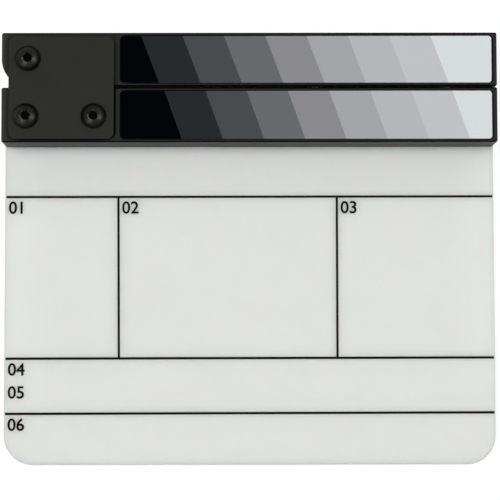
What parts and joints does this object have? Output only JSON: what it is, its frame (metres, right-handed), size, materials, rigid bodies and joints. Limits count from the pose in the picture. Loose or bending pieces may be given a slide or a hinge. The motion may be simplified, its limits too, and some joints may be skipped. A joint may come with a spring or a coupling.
{
  "type": "clapperboard",
  "caption": "Small film slate: a white acrylic writing board under a fixed stick, and a magnetic clap stick that swings open on a screwed pivot at the left end.",
  "frame": {"origin": "under the middle of the whole outline, on the plane of the board's back face", "axes": "+X to the right of the written face, +Y from the board towards the clap sticks, +Z out of the written face"},
  "size_m": [0.15, 0.1308, 0.0187],
  "materials": {
    "opal_acrylic": "satin opal white",
    "black_moulding": "fine-grained satin black",
    "printed_card": "laminated print, grey steps from black to white",
    "adhesive_tape": "clear adhesive film",
    "plated_magnet": "nickel plate",
    "black_coated_steel": "fine black powder coat",
    "black_oxide_steel": "oiled black oxide",
    "insert_brass": "turned",
    "bright_steel": "zinc plate",
    "lock_nylon": "natural nylon",
    "bush_plastic": "self-lubricating plastic",
    "printed_ink": "screen-printed black ink on the board"
  },
  "bodies": {
    "slate": {"slate_board": "opal_acrylic", "lower_stick": "black_moulding", "lower_grey_strip": "printed_card", "lower_strip_tape": "adhesive_tape", "lower_magnets": "plated_magnet", "board_screws": "black_oxide_steel", "board_screw_inserts": "insert_brass", "hinge_plate": "black_coated_steel", "plate_screws": "black_oxide_steel", "plate_screw_inserts": "insert_brass", "pivot_screw": "black_oxide_steel", "pivot_sleeve": "bright_steel", "pivot_washer": "bright_steel", "pivot_nut": "bright_steel", "pivot_nut_ring": "lock_nylon"},
    "clapper": {"upper_stick": "black_moulding", "upper_grey_strip": "printed_card", "upper_strip_tape": "adhesive_tape", "upper_magnets": "plated_magnet", "front_pivot_bush": "bush_plastic", "rear_pivot_bush": "bush_plastic"}
  },
  "joints": [
    {"name": "clapper_hinge", "type": "hinge", "parent": "slate", "child": "clapper", "pos_m": [-0.06685, 0.05725, 0], "axis": [0, 0, 1], "range_deg": [0, 90]}
  ]
}
